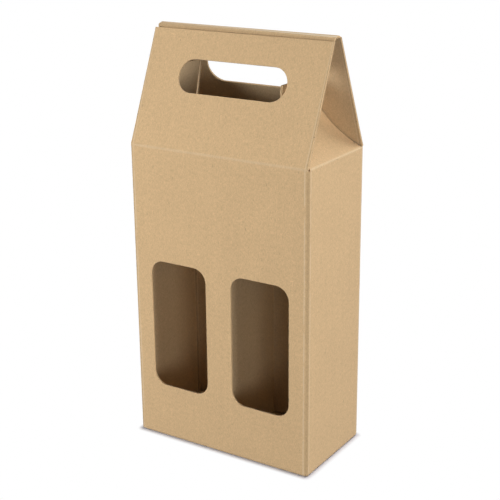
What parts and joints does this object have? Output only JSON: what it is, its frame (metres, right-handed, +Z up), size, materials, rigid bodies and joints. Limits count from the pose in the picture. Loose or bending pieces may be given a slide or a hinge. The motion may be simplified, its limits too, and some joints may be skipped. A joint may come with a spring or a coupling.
{
  "type": "bottle shipping box",
  "caption": "Upright carry box folded from brown micro-flute board, with windows in the front wall and a gable top whose hinged panels share a hand hole.",
  "frame": {"origin": "middle of the base's underside, on the surface that the box stands on", "axes": "+Z up, +Y from the windowed front wall to the back wall, +X to the right seen from the front"},
  "size_m": [0.18, 0.095, 0.3763],
  "materials": {
    "board": "matt brown kraft paper on micro-flute board"
  },
  "bodies": {
    "box": {"carton": "board", "divider": "board"},
    "front_panel": {"front_gable": "board"},
    "back_panel": {"back_gable": "board"}
  },
  "joints": [
    {"name": "front_fold", "type": "hinge", "parent": "box", "child": "front_panel", "pos_m": [0, -0.0475, 0.276], "axis": [1, 0, 0], "range_deg": [0, 120]},
    {"name": "back_fold", "type": "hinge", "parent": "box", "child": "back_panel", "pos_m": [0, 0.0475, 0.276], "axis": [-1, 0, 0], "range_deg": [0, 120]}
  ]
}
